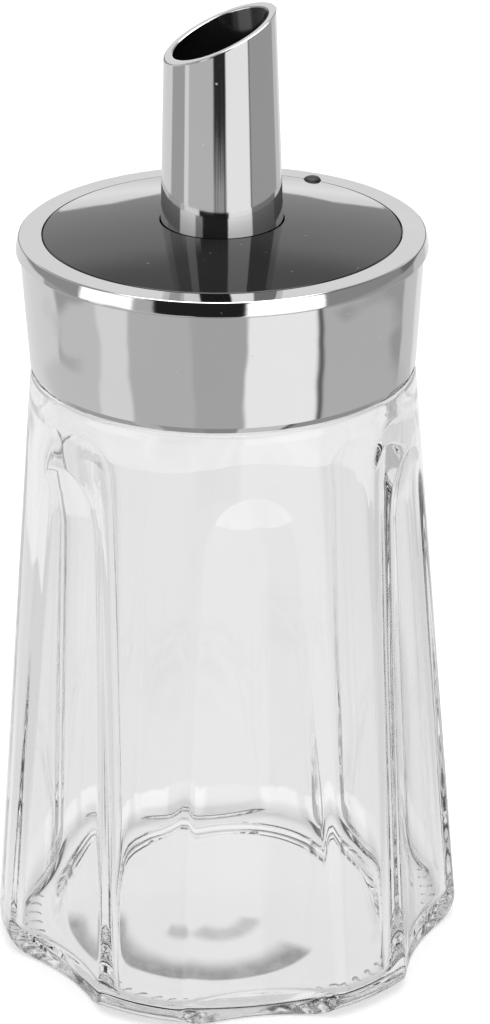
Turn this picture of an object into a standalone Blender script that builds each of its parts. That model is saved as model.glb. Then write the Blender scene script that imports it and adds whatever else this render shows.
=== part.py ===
"""Sugar dispenser: a fluted clear glass jar under a chromed screw collar, a domed black
disc and a chromed pouring spout with a slanted mouth.

Units are metres, +Z is up, the origin is the centre of the jar's foot. One flute faces
-Y but for the jar's small turn in its lid, and the spout's low lip points to -X.
"""

import math

import bmesh
import bpy
from mathutils import Matrix, Vector

MM = 0.001
GAP = 0.3 * MM

# Jar body
FLUTES = 6
PERIOD = 2.0 * math.pi / FLUTES
HALF_PERIOD = 0.5 * PERIOD
JAR_TURN = math.radians(-1.8)
BASE_RADIUS = 37.3 * MM
SHOULDER_RADIUS = 29.3 * MM
SHOULDER_Z = 96.4 * MM
SHOULDER_ROUND = 0.8 * MM
HEEL_ROUND = 3.6 * MM

# Flutes: hollows with a straight floor that curves out to the wall in an arch at the top
FLUTE_FLOOR_BASE = 32.75 * MM
FLUTE_FLOOR_TAPER = 0.0447
FLUTE_HOLLOW_RADIUS = 31.5 * MM
FLUTE_RUNOUT = 9.5 * MM
FLUTE_TOP_Z = 86.5 * MM
FLUTE_HEEL_ROUND = 0.6 * MM
RIB_BLEND = 0.3 * MM

# Jar inside
WALL = 3.0 * MM
INNER_HOLLOW_RADIUS = 45.0 * MM
INNER_RUNOUT = 20.0 * MM
INNER_TOP_Z = 96.0 * MM
INNER_BLEND = 0.5 * MM
FLOOR_Z = 2.4 * MM
FLOOR_CROWN = 1.2 * MM
FLOOR_CORNER = 2.0 * MM
INNER_SHOULDER_Z = 90.0 * MM
NECK_BORE_Z = 99.0 * MM

# Jar neck
NECK_RADIUS = 26.6 * MM
NECK_BORE_RADIUS = 23.8 * MM
RIM_Z = 114.7 * MM
RIM_ROUND = 0.8 * MM

# Jar underside
PUNT_RADIUS = 26.5 * MM
PUNT_EDGE = 0.7 * MM
PUNT_EDGE_DEPTH = 0.6 * MM
PUNT_DEPTH = 1.8 * MM

# Chromed collar
COLLAR_BOTTOM_Z = SHOULDER_Z + GAP
COLLAR_BOTTOM_RADIUS = 29.3 * MM
COLLAR_TOP_RADIUS = 30.4 * MM
COLLAR_WALL = 1.5 * MM
COLLAR_HEM_HEIGHT = 0.9 * MM
COLLAR_HEM_PROUD = 0.12 * MM
LIP_RADIUS = 31.0 * MM
LIP_BOTTOM_Z = 115.2 * MM
LIP_TOP_Z = 117.5 * MM
LIP_FLAT_RADIUS = 29.7 * MM
RING_INNER_Z = 117.75 * MM
RING_UNDERSIDE_Z = 115.6 * MM

# Black disc
DISC_RADIUS = 26.97 * MM
DISC_BOTTOM_Z = RIM_Z + GAP
DISC_EDGE_Z = 117.5 * MM
DISC_CROWN_Z = 119.7 * MM
DISC_EDGE_ROUND = 0.3 * MM
RING_INNER_RADIUS = DISC_RADIUS + 0.33 * MM
LUG_RADIUS = 1.25 * MM
LUG_AZIMUTH = math.radians(138.6)
LUG_TOP_Z = 117.8 * MM
LUG_BOTTOM_Z = DISC_BOTTOM_Z + 0.4 * MM

# Chromed spout
SPOUT_BOTTOM_Z = DISC_BOTTOM_Z
SPOUT_FOOT_RADIUS = 9.35 * MM
SPOUT_TOP_RADIUS = 8.05 * MM
SPOUT_WALL = 1.25 * MM
MOUTH_CENTRE_Z = 148.2 * MM
MOUTH_TILT = math.radians(24.0)
SPOUT_STOCK_Z = MOUTH_CENTRE_Z + 8.0 * MM
DISC_BORE_RADIUS = SPOUT_FOOT_RADIUS + GAP

# Mesh fineness
CORNER_HALF_WIDTH = math.radians(1.8)
SMALLEST_CORNER = math.radians(5.0)
ARCH_EDGE = 0.4 * MM
TURNED_STEPS = 72
SPOUT_STEPS = 48


def lerp(a, b, t):
    """The value a share t of the way from a to b."""
    return a + (b - a) * t


def steps(first, last, count):
    """count values from just after first up to last, evenly spaced."""
    return [lerp(first, last, (i + 1) / count) for i in range(count)]


def smooth(t):
    """An S-shaped ramp from 0 to 1."""
    t = min(max(t, 0.0), 1.0)
    return t * t * (3.0 - 2.0 * t)


def round_inset(height, radius):
    """How far a rounded edge of the given radius has cut in at a height above its start."""
    rest = min(max(radius - height, 0.0), radius)
    return radius - math.sqrt(radius * radius - rest * rest)


def soft_min(a, b, blend):
    """The lesser of two radii, with the corner between them rounded."""
    return 0.5 * (a + b) - math.sqrt(0.25 * (a - b) ** 2 + blend * blend)


def wall_radius(z):
    """Radius of the plain tapered wall between the flutes."""
    return lerp(BASE_RADIUS, SHOULDER_RADIUS, z / SHOULDER_Z)


def flute_floor(z, runout, top_z):
    """Distance of a flute's floor from the axis: straight, then an arc out to the wall."""
    straight = FLUTE_FLOOR_BASE - FLUTE_FLOOR_TAPER * z
    top_gap = wall_radius(top_z) - (FLUTE_FLOOR_BASE - FLUTE_FLOOR_TAPER * top_z)
    rise = max(z - (top_z - runout), 0.0) / runout
    return straight + top_gap * rise * rise


def fluted(plain, floor, hollow_radius, angle, blend):
    """Radius of a section at an angle from a flute's centre line.

    The hollow's cross-section is an arc whose centre lies outside the jar.
    """
    centre = floor + hollow_radius
    reach = centre * math.sin(angle)
    if abs(reach) >= hollow_radius:
        return plain
    hollow = centre * math.cos(angle) - math.sqrt(hollow_radius ** 2 - reach ** 2)
    depth = max(plain - floor, 0.0)
    return soft_min(plain, hollow, blend * min(depth / MM, 1.0))


def outer_radius(angle, z):
    """Outside of the body: flutes and ribs, with the heel rounded under."""
    plain = wall_radius(z) - round_inset(z, HEEL_ROUND)
    floor = flute_floor(z, FLUTE_RUNOUT, FLUTE_TOP_Z) - round_inset(z, FLUTE_HEEL_ROUND)
    return fluted(plain, floor, FLUTE_HOLLOW_RADIUS, angle, RIB_BLEND)


def inner_radius(angle, z):
    """Inside of the body, which follows the outside with softer corners."""
    plain = wall_radius(z) - WALL
    floor = min(flute_floor(z, INNER_RUNOUT, INNER_TOP_Z) - WALL, plain)
    body = fluted(plain, floor, INNER_HOLLOW_RADIUS, angle, INNER_BLEND)
    body -= round_inset(z - FLOOR_Z, FLOOR_CORNER)
    into_neck = smooth((z - INNER_SHOULDER_Z) / (NECK_BORE_Z - INNER_SHOULDER_Z))
    return lerp(body, NECK_BORE_RADIUS, into_neck)


def arc(centre_x, centre_z, radius, start, end, count):
    """Points on an arc in the XZ plane, angles in degrees from +X towards +Z."""
    points = []
    for i in range(count + 1):
        angle = math.radians(lerp(start, end, i / count))
        points.append((centre_x + radius * math.cos(angle), centre_z + radius * math.sin(angle)))
    return points


def quarter_heights(radius, count):
    """Heights that step evenly round a quarter circle from 0 to its radius."""
    turns = [0.5 * math.pi * i / count for i in range(1, count + 1)]
    return [radius * (1.0 - math.cos(turn)) for turn in turns]


def corner_angle(z):
    """Angle from a flute's centre line at which its hollow meets the plain wall."""
    if z >= FLUTE_TOP_Z:
        return SMALLEST_CORNER
    plain = wall_radius(z)
    centre = flute_floor(z, FLUTE_RUNOUT, FLUTE_TOP_Z) + FLUTE_HOLLOW_RADIUS
    cosine = (plain ** 2 + centre ** 2 - FLUTE_HOLLOW_RADIUS ** 2) / (2.0 * plain * centre)
    return max(math.acos(min(cosine, 1.0)), SMALLEST_CORNER)


def section_angles(z):
    """Every angle round the jar at a height, from -Y, closest together at the flutes' corners."""
    corner = corner_angle(z)
    half = [0.0] + steps(0.0, corner - CORNER_HALF_WIDTH, 3)
    half += steps(corner - CORNER_HALF_WIDTH, corner + CORNER_HALF_WIDTH, 2)
    half += steps(corner + CORNER_HALF_WIDTH, HALF_PERIOD, 2)
    local = [-a for a in reversed(half[1:-1])] + half
    return [JAR_TURN + PERIOD * i + a for i in range(FLUTES) for a in local]


def local_angle(angle):
    """The angle from the nearest flute's centre line."""
    return (angle - JAR_TURN + HALF_PERIOD) % PERIOD - HALF_PERIOD


def jar_rows():
    """The jar's rows of (radius function, height function), from the punt over the rim to the floor."""
    rows = []

    def add(radius, z):
        rows.append((radius if callable(radius) else (lambda angle, r=radius: r), z))

    for share in (0.35, 0.7, 1.0):
        radius = (PUNT_RADIUS - PUNT_EDGE) * share
        add(radius, lerp(PUNT_DEPTH, PUNT_EDGE_DEPTH, share * share))
    add(PUNT_RADIUS, 0.0)

    heel = [0.0] + quarter_heights(HEEL_ROUND, 4)
    straight = steps(HEEL_ROUND, FLUTE_TOP_Z - FLUTE_RUNOUT, 3)
    arch = steps(FLUTE_TOP_Z - FLUTE_RUNOUT, FLUTE_TOP_Z + ARCH_EDGE, 7)
    for z in heel + straight + arch + [SHOULDER_Z - SHOULDER_ROUND]:
        add(lambda angle, z=z: outer_radius(angle, z), z)

    centre_r = SHOULDER_RADIUS - SHOULDER_ROUND
    centre_z = SHOULDER_Z - SHOULDER_ROUND
    for radius, z in arc(centre_r, centre_z, SHOULDER_ROUND, 30.0, 90.0, 2):
        add(radius, z)
    add(NECK_RADIUS, SHOULDER_Z)
    for radius, z in arc(NECK_RADIUS - RIM_ROUND, RIM_Z - RIM_ROUND, RIM_ROUND, 0.0, 90.0, 2):
        add(radius, z)
    for radius, z in arc(NECK_BORE_RADIUS + RIM_ROUND, RIM_Z - RIM_ROUND, RIM_ROUND, 90.0, 180.0, 2):
        add(radius, z)

    neck = steps(NECK_BORE_Z, INNER_SHOULDER_Z, 4)
    down = steps(INNER_SHOULDER_Z, INNER_TOP_Z - INNER_RUNOUT, 4)
    down += steps(INNER_TOP_Z - INNER_RUNOUT, FLOOR_Z + FLOOR_CORNER, 3)
    corner = [FLOOR_Z + h for h in reversed([0.0] + quarter_heights(FLOOR_CORNER, 4)[:-1])]
    for z in [NECK_BORE_Z] + neck + down + corner:
        add(lambda angle, z=z: inner_radius(angle, z), z)
    floor_edge = inner_radius(0.0, FLOOR_Z)
    for share in (0.7, 0.35):
        add(floor_edge * share, FLOOR_Z + FLOOR_CROWN * (1.0 - share * share))
    return rows


def loft(name, rows, start_z, end_z):
    """A closed body through rows of points round the axis, its ends closed to a point."""
    mesh_maker = bmesh.new()
    rings = []
    for radius, z in rows:
        ring = []
        for angle in section_angles(z):
            r = radius(local_angle(angle))
            ring.append(mesh_maker.verts.new((r * math.sin(angle), -r * math.cos(angle), z)))
        rings.append(ring)
    count = len(rings[0])
    for lower, upper in zip(rings, rings[1:]):
        for i in range(count):
            j = (i + 1) % count
            mesh_maker.faces.new((lower[i], lower[j], upper[j], upper[i]))
    for ring, z, order in ((rings[0], start_z, -1), (rings[-1], end_z, 1)):
        tip = mesh_maker.verts.new((0.0, 0.0, z))
        for i in range(count):
            face = (ring[i], ring[(i + 1) % count], tip)
            mesh_maker.faces.new(face[::order])
    mesh = bpy.data.meshes.new(name)
    mesh_maker.to_mesh(mesh)
    mesh_maker.free()
    mesh.shade_smooth()
    return mesh


def clear_scene():
    """Remove whatever the scene holds."""
    for old in list(bpy.data.objects):
        bpy.data.objects.remove(old, do_unlink=True)


def new_collection(name):
    """A collection linked to the scene."""
    collection = bpy.data.collections.new(name)
    bpy.context.scene.collection.children.link(collection)
    return collection


def add_object(name, mesh, collection, material=None):
    """An object for a mesh, in a collection, with its material."""
    item = bpy.data.objects.new(name, mesh)
    collection.objects.link(item)
    if material is not None:
        mesh.materials.append(material)
    return item


def principled(name, colour, roughness, metallic=0.0, transmission=0.0, ior=1.5):
    """A plain Principled material."""
    material = bpy.data.materials.new(name)
    material.use_nodes = True
    shader = material.node_tree.nodes["Principled BSDF"]
    shader.inputs["Base Color"].default_value = (*colour, 1.0)
    shader.inputs["Roughness"].default_value = roughness
    shader.inputs["Metallic"].default_value = metallic
    shader.inputs["Transmission Weight"].default_value = transmission
    shader.inputs["IOR"].default_value = ior
    return material


def turned(name, profile, step_count, collection, material=None):
    """A closed outline in the XZ plane turned about the Z axis."""
    mesh = bpy.data.meshes.new(name)
    edges = [(i, (i + 1) % len(profile)) for i in range(len(profile))]
    mesh.from_pydata([(x, 0.0, z) for x, z in profile], edges, [])
    item = add_object(name, mesh, collection, material)
    screw = item.modifiers.new("Turn", "SCREW")
    screw.axis = "Z"
    screw.angle = 2.0 * math.pi
    screw.steps = step_count
    screw.render_steps = step_count
    screw.use_merge_vertices = True
    screw.merge_threshold = 0.00001
    screw.use_smooth_shade = True
    return item


def cutter(name, mesh, collection):
    """An object that only cuts, hidden from the result."""
    item = add_object(name, mesh, collection)
    item.hide_render = True
    item.display_type = "WIRE"
    return item


def combine(item, other, operation):
    """Cut or join another object into this one."""
    boolean = item.modifiers.new(other.name, "BOOLEAN")
    boolean.operation = operation
    boolean.solver = "EXACT"
    boolean.object = other


def box_mesh(name, size):
    """A box of the given size about its own origin."""
    maker = bmesh.new()
    bmesh.ops.create_cube(maker, size=1.0, matrix=Matrix.Diagonal((*size, 1.0)))
    mesh = bpy.data.meshes.new(name)
    maker.to_mesh(mesh)
    maker.free()
    return mesh


def cylinder_mesh(name, radius, height, segments):
    """An upright cylinder about its own origin."""
    maker = bmesh.new()
    bmesh.ops.create_cone(
        maker, cap_ends=True, segments=segments, radius1=radius, radius2=radius, depth=height
    )
    mesh = bpy.data.meshes.new(name)
    maker.to_mesh(mesh)
    maker.free()
    return mesh


def build_jar(parts):
    """The glass jar: fluted body, shoulder, plain neck, low crowned floor and hollow underside."""
    glass = principled("clear_glass", (0.97, 0.98, 0.98), 0.02, transmission=1.0, ior=1.5)
    mesh = loft("glass_jar", jar_rows(), PUNT_DEPTH, FLOOR_Z + FLOOR_CROWN)
    add_object("glass_jar", mesh, parts, glass)


def collar_profile():
    """The collar's outline, from the ring's inner edge out, down the wall and back up inside."""
    lip_z = 0.5 * (LIP_TOP_Z + LIP_BOTTOM_Z)
    lip_round = 0.5 * (LIP_TOP_Z - LIP_BOTTOM_Z)
    lip_x = LIP_RADIUS - lip_round
    hem_z = COLLAR_BOTTOM_Z + COLLAR_HEM_HEIGHT
    hem_share = COLLAR_HEM_HEIGHT / (LIP_BOTTOM_Z - COLLAR_BOTTOM_Z)
    hem_wall = lerp(COLLAR_BOTTOM_RADIUS, COLLAR_TOP_RADIUS, hem_share)
    inner_bottom = COLLAR_BOTTOM_RADIUS - COLLAR_WALL
    inner_top = COLLAR_TOP_RADIUS - COLLAR_WALL
    profile = [(RING_INNER_RADIUS, RING_INNER_Z), (LIP_FLAT_RADIUS, LIP_TOP_Z)]
    profile += arc(lip_x, lip_z, lip_round, 60.0, -40.0, 4)
    profile += [(COLLAR_TOP_RADIUS, LIP_BOTTOM_Z)]
    profile += [(hem_wall, hem_z), (hem_wall + COLLAR_HEM_PROUD, hem_z - COLLAR_HEM_PROUD)]
    profile += [(COLLAR_BOTTOM_RADIUS + COLLAR_HEM_PROUD, COLLAR_BOTTOM_Z)]
    profile += [(inner_bottom, COLLAR_BOTTOM_Z), (inner_top, RING_UNDERSIDE_Z)]
    profile += [(RING_INNER_RADIUS, RING_UNDERSIDE_Z)]
    return profile


def lug_place(z):
    """A point over the keying lug on the disc's edge."""
    return Vector((DISC_RADIUS * math.sin(LUG_AZIMUTH), -DISC_RADIUS * math.cos(LUG_AZIMUTH), z))


def build_collar(parts, cutters):
    """The chromed collar with its rounded lip, and the notch for the disc's lug."""
    chrome = principled("chrome_collar", (0.85, 0.85, 0.86), 0.05, metallic=1.0)
    collar = turned("lid_collar", collar_profile(), TURNED_STEPS, parts, chrome)
    notch_height = 2.0 * (RING_INNER_Z - RING_UNDERSIDE_Z)
    notch = cutter("lug_notch", cylinder_mesh("lug_notch", LUG_RADIUS + GAP, notch_height, 20), cutters)
    notch.location = lug_place(0.5 * (RING_INNER_Z + RING_UNDERSIDE_Z))
    combine(collar, notch, "DIFFERENCE")


def disc_profile():
    """The disc's outline, from its bore out over the dome, down the edge and back."""
    dome = []
    edge_x = DISC_RADIUS - DISC_EDGE_ROUND
    for i in range(6):
        x = lerp(DISC_BORE_RADIUS, edge_x, i / 5)
        dome.append((x, lerp(DISC_CROWN_Z, DISC_EDGE_Z, (x / edge_x) ** 2)))
    edge = [(DISC_RADIUS, DISC_EDGE_Z - DISC_EDGE_ROUND), (DISC_RADIUS, DISC_BOTTOM_Z)]
    return dome + edge + [(DISC_BORE_RADIUS, DISC_BOTTOM_Z)]


def build_disc(parts, cutters):
    """The black domed disc, with a small round lug on its edge."""
    black = principled("black_plastic", (0.015, 0.015, 0.016), 0.12)
    disc = turned("lid_disc", disc_profile(), TURNED_STEPS, parts, black)
    lug_height = LUG_TOP_Z - LUG_BOTTOM_Z
    lug = cutter("disc_lug", cylinder_mesh("disc_lug", LUG_RADIUS, lug_height, 20), cutters)
    lug.location = lug_place(0.5 * (LUG_TOP_Z + LUG_BOTTOM_Z))
    combine(disc, lug, "UNION")


def spout_profile():
    """The spout's wall, taller than the finished spout so that the mouth can be cut."""
    return [
        (SPOUT_TOP_RADIUS, SPOUT_STOCK_Z),
        (SPOUT_FOOT_RADIUS, SPOUT_BOTTOM_Z),
        (SPOUT_FOOT_RADIUS - SPOUT_WALL, SPOUT_BOTTOM_Z),
        (SPOUT_TOP_RADIUS - SPOUT_WALL, SPOUT_STOCK_Z),
    ]


def build_spout(parts, cutters):
    """The tapered spout, open right through, with its mouth cut on a slant."""
    chrome = principled("chrome_spout", (0.85, 0.85, 0.86), 0.05, metallic=1.0)
    spout = turned("pour_spout", spout_profile(), SPOUT_STEPS, parts, chrome)
    side = 60.0 * MM
    slant = cutter("mouth_cut", box_mesh("mouth_cut", (side, side, side)), cutters)
    tilt = Matrix.Rotation(-MOUTH_TILT, 4, "Y")
    slant.matrix_world = Matrix.Translation((0.0, 0.0, MOUTH_CENTRE_Z)) @ tilt
    slant.matrix_world = slant.matrix_world @ Matrix.Translation((0.0, 0.0, 0.5 * side))
    combine(spout, slant, "DIFFERENCE")


def main():
    """Build every piece of the dispenser."""
    clear_scene()
    parts = new_collection("sugar_dispenser")
    cutters = new_collection("cutters")
    build_jar(parts)
    build_collar(parts, cutters)
    build_disc(parts, cutters)
    build_spout(parts, cutters)


main()
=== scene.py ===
"""Looks of the sugar dispenser: clear pressed glass, mirror chrome and glossy black plastic.

Everything is in metres, +Z up, with the origin at the centre of the jar's foot. One flute
faces -Y but for the jar's small turn in its lid, and the spout's low lip points to -X. The
fine surfaces repeat the formulas of the solids that they stand for.
"""

import math

import bmesh
import bpy
from mathutils import Matrix, Vector, noise


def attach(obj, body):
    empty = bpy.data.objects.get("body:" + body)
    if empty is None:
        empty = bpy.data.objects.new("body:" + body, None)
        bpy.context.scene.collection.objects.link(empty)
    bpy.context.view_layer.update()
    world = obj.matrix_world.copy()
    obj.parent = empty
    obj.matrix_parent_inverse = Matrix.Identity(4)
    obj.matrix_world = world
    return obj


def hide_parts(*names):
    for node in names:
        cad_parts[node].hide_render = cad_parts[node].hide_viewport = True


MM = 0.001
GAP = 0.3 * MM
BODY = "root"

# Jar body
FLUTES = 6
PERIOD = 2.0 * math.pi / FLUTES
HALF_PERIOD = 0.5 * PERIOD
JAR_TURN = math.radians(-1.8)
BASE_RADIUS = 37.3 * MM
SHOULDER_RADIUS = 29.3 * MM
SHOULDER_Z = 96.4 * MM
SHOULDER_ROUND = 0.8 * MM
HEEL_ROUND = 3.6 * MM

# Flutes
FLUTE_FLOOR_BASE = 32.75 * MM
FLUTE_FLOOR_TAPER = 0.0447
FLUTE_HOLLOW_RADIUS = 31.5 * MM
FLUTE_RUNOUT = 9.5 * MM
FLUTE_TOP_Z = 86.5 * MM
FLUTE_HEEL_ROUND = 0.6 * MM
RIB_BLEND = 0.3 * MM

# Jar inside
WALL = 3.0 * MM
INNER_HOLLOW_RADIUS = 45.0 * MM
INNER_RUNOUT = 20.0 * MM
INNER_TOP_Z = 96.0 * MM
INNER_BLEND = 0.5 * MM
FLOOR_Z = 2.4 * MM
FLOOR_CROWN = 1.2 * MM
FLOOR_CORNER = 2.0 * MM
INNER_SHOULDER_Z = 90.0 * MM
NECK_BORE_Z = 99.0 * MM

# Jar neck
NECK_RADIUS = 26.6 * MM
NECK_BORE_RADIUS = 23.8 * MM
RIM_Z = 114.7 * MM
RIM_ROUND = 0.8 * MM

# Jar underside, with a ring of small curved grip marks pressed into the foot
PUNT_RADIUS = 26.5 * MM
PUNT_EDGE = 0.7 * MM
PUNT_EDGE_DEPTH = 0.6 * MM
PUNT_DEPTH = 1.8 * MM
MARKS = 66
MARK_RING_INNER = 28.4 * MM
MARK_RING_MARGIN = 0.15 * MM
MARK_MIDDLE = 31.2 * MM
MARK_HALF_LENGTH = 1.9 * MM
MARK_WIDTH = 0.45 * MM
MARK_DEPTH = 0.45 * MM
MARK_BOW = 0.9 * MM
MARK_START = math.radians(10.0)
MARK_REACH = math.radians(105.0)
MARK_FADE = math.radians(8.0)
MARK_END_STEEPNESS = 2.5

# Heel and foot ring, a little worn
WORN_FROM = (30.0 * MM, 32.5 * MM)
WORN_UP_TO = (2.0 * MM, 4.5 * MM)
WORN_ROUGHNESS = 0.13

# Slow unevenness of pressed glass, faded in above the foot and out below the neck
WAVE_INSIDE = 0.05 * MM
WAVE_OUTSIDE = 0.02 * MM
WAVE_LENGTH = 17.0 * MM
WAVE_STRETCH = 0.6
WAVE_START_Z = 4.0 * MM
WAVE_FADE_IN = 14.0 * MM
WAVE_END_Z = 92.0 * MM
WAVE_FADE_OUT = 6.0 * MM
INSIDE_WAVE_SHIFT = 5.0

# Chromed collar
COLLAR_BOTTOM_Z = SHOULDER_Z + GAP
COLLAR_BOTTOM_RADIUS = 29.3 * MM
COLLAR_TOP_RADIUS = 30.4 * MM
COLLAR_WALL = 1.5 * MM
COLLAR_HEM_HEIGHT = 0.9 * MM
COLLAR_HEM_INSET = 0.3 * MM
LIP_RADIUS = 30.98 * MM
LIP_SHOULDER_RADIUS = 30.6 * MM
LIP_BOTTOM_Z = 115.2 * MM
LIP_TOP_Z = 117.5 * MM
LIP_TOP_ROUND = 0.3 * MM
LIP_UNDER_ROUND = 0.2 * MM
LIP_FACET_BULGE = 0.05 * MM
LIP_ROUND_START = 0.1 * MM
RING_UNDERSIDE_Z = 115.6 * MM

# Black disc
DISC_RADIUS = 26.97 * MM
DISC_BOTTOM_Z = RIM_Z + GAP
DISC_EDGE_Z = 117.6 * MM
DISC_CROWN_Z = 119.7 * MM
DISC_EDGE_ROUND = 0.3 * MM
DISC_GAP = 0.14 * MM
RING_INNER_RADIUS = DISC_RADIUS + DISC_GAP
LUG_RADIUS = 1.3 * MM
LUG_HEIGHT = 0.6 * MM
LUG_AZIMUTH = math.radians(138.6)
LUG_GAP = 0.1 * MM
LUG_ROUGHNESS = 0.5

# Chromed spout
SPOUT_BOTTOM_Z = DISC_BOTTOM_Z
SPOUT_FOOT_RADIUS = 9.35 * MM
SPOUT_TOP_RADIUS = 8.05 * MM
SPOUT_WALL = 1.25 * MM
SPOUT_RIM_ROUND = 0.22 * MM
MOUTH_CENTRE_Z = 148.2 * MM
MOUTH_TILT = math.radians(24.0)
SPOUT_STOCK_OVER = 8.0 * MM
SPOUT_STOCK_Z = MOUTH_CENTRE_Z + SPOUT_STOCK_OVER
SPOUT_GAP = 0.06 * MM
DISC_BORE_RADIUS = SPOUT_FOOT_RADIUS + SPOUT_GAP

# Camera, where the photograph was taken from
VIEW_AZIMUTH = math.radians(-9.9)
VIEW_ELEVATION = 0.414587
VIEW_ROLL = -0.0078532
VIEW_DISTANCE = 0.5505457
VIEW_TARGET_Z = 0.075
FOCAL_PX = 3559.025
FRAME_WIDTH_PX = 490
FRAME_HEIGHT_PX = 1024
OPTICAL_CENTRE_PX = (224.13, 489.966)
SENSOR_HEIGHT_MM = 36.0
NEAREST_SEEN = 10.0 * MM

# Mesh fineness
COLUMNS_IN_FLUTE = 9
COLUMNS_AT_CORNER = 18
COLUMNS_ON_RIB = 6
CORNER_HALF_WIDTH = math.radians(2.2)
CORNER_SHARE = 0.6
SMALLEST_CORNER = math.radians(5.0)
ARCH_EDGE = 0.4 * MM
HEEL_RINGS = 9
STRAIGHT_RINGS = 26
ARCH_RINGS = 44
SHOULDER_RINGS = 8
NECK_RINGS = 9
INNER_ARCH_RINGS = 15
INNER_STRAIGHT_RINGS = 18
FLOOR_CORNER_RINGS = 9
FLOOR_SHARES = (0.86, 0.7, 0.5, 0.3, 0.12)
MARK_COLUMNS = 18
MARK_RINGS = 17
MARKS_TO_PUNT = 3
PUNT_SHARES = (1.0, 0.85, 0.7, 0.5, 0.3, 0.12)
TURNED_STEPS = 288
LIP_FACET_SHARES = (0.05, 0.35, 0.65, 0.95)
COLLAR_WALL_SHARES = (0.99, 0.9, 0.75, 0.6, 0.45, 0.3, 0.15, 0.01)
DISC_RINGS = 24
LUG_STEPS = 48
LID_SHARP_DEG = 32.0
SPOUT_STEPS = 192
SPOUT_WALL_SHARES = (0.0, 0.15, 0.3, 0.45, 0.6, 0.75, 0.9)
SPOUT_BORE_SHARES = (0.8, 0.6, 0.4, 0.2, 0.0)
SPOUT_RIM_TURNS = (20.0, 45.0, 70.0, 90.0)
SPOUT_RIM_LEAD = 0.15
SPOUT_SHARP_DEG = 40.0
MOUTH_PASSES = 12

# Arcs of the outlines: first and last angle in degrees, and steps
SHOULDER_ARC = (15.0, 90.0, 5)
RIM_OUTER_ARC = (0.0, 90.0, 3)
RIM_INNER_ARC = (90.0, 180.0, 3)
LIP_TOP_ARC = (90.0, 14.0, 8)
LIP_UNDER_ARC = (9.0, -80.0, 6)
HEM_ARC = (0.0, -20.0, 3)
DISC_EDGE_ARC = (75.0, 0.0, 5)

# Glass
GLASS_TINTS = (0.978, 0.988)
GLASS_TINT_SCALE = 60.0
GLASS_IOR = 1.5
GLASS_HAZE = 0.02
GLASS_HAZE_SCALE = 240.0
GLASS_HAZE_RANGE = (0.35, 0.75)

# Chrome
CHROME_SHADE = 0.70
CHROME_CLOUDED = 0.93
CHROME_CLOUD_SCALE = 45.0
CHROME_CLOUD_RANGE = (0.3, 0.7)
CHROME_ROUGHNESS = (0.035, 0.06)
CHROME_RIPPLE_SCALE = 60.0
COLLAR_RIPPLE = 0.5 * MM
SPOUT_RIPPLE = 0.04 * MM

# Black plastic
BLACK_SHADES = ((0.010, 0.010, 0.011, 1.0), (0.016, 0.016, 0.017, 1.0))
BLACK_IOR = 1.52
BLACK_CLOUD_SCALE = 80.0
BLACK_CLOUD_RANGE = (0.3, 0.75)
BLACK_RIPPLE_SCALE = 120.0
BLACK_RIPPLE_STRENGTH = 0.5
BLACK_RIPPLE = 0.03 * MM
DISC_ROUGHNESS = (0.02, 0.05)
BORE_ROUGHNESS = (0.12, 0.20)
LUG_DULL_REACH = 1.1

# Dust: scale of its grains, scale of its patches, how sparse the patches are, how strong
CHROME_DUST = (900.0, 700.0, (0.65, 0.70), 0.7)
BLACK_DUST = (650.0, 500.0, (0.63, 0.68), 1.0)
DUST_GRAIN_EDGE = (0.08, 0.2)
DUST_ON_CHROME = 0.8
DUST_ON_BLACK = 0.12
DUST_METALLIC = 0.55
DUST_ROUGHNESS = 0.5

# The studio round the object, as brightness by direction. Each zone runs counterclockwise seen
# from above, from its azimuth in degrees from the camera to the next zone's. Right of the camera
# is positive. Levels are radiance, where 1 is paper white.
TABLE_NEAR = (
    (-180, 0.95), (-146, 0.72), (-78, 0.92), (-57, 0.60), (-18, 0.52), (13, 1.15), (57, 0.12),
    (61, 0.59), (138, 0.33), (157, 0.85),
)
TABLE_FAR = (
    (-180, 0.85), (-112, 0.46), (-76, 0.90), (-66, 0.62), (-15, 0.45), (9, 1.1), (56, 0.2),
    (59, 0.43), (128, 0.7), (150, 0.9),
)
EDGE_DARK_ZONE = (-15, 0.03)
TABLE_EDGE = tuple(EDGE_DARK_ZONE if zone[0] == EDGE_DARK_ZONE[0] else zone for zone in TABLE_FAR)
HORIZON = (
    (-180, 1.9), (-170, 0.36), (-84, 1.6), (-50, 0.55), (-36, 0.02), (11, 1.9), (58, 0.33),
    (115, 0.2), (170, 1.9),
)
MIDDLE = (
    (-180, 0.9), (-120, 0.6), (-84, 0.8), (-75, 1.2), (-43, 0.02), (12, 1.4), (58, 0.3),
    (120, 0.9),
)
HIGH = (
    (-180, 0.5), (-120, 0.3), (-75, 0.8), (-55, 0.1), (12, 1.2), (58, 0.15), (120, 0.5),
)
OVERHEAD_LEVEL = 4.0
TOP_LEVEL = 4.0
ZONE_EDGE = 1.2

# Elevations in degrees over which one layer of the studio gives way to the next
UNDER_SPAN = (-44.0, -36.0)
TABLE_FAR_SPAN = (-25.5, -24.0)
TABLE_EDGE_SPAN = (-16.0, -14.5)
HORIZON_SPAN = (-9.0, -7.0)
MIDDLE_SPAN = (7.5, 8.5)
HIGH_SPAN = (26.0, 34.0)
OVERHEAD_SPAN = (56.0, 64.0)
UNDER_LEVEL = 0.65

# The table's far edge and the horizon's zones wander a little
EDGE_MOTTLE = 2.4
EDGE_MOTTLE_SCALE = 35.0
HORIZON_WANDER = 0.0012

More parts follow.
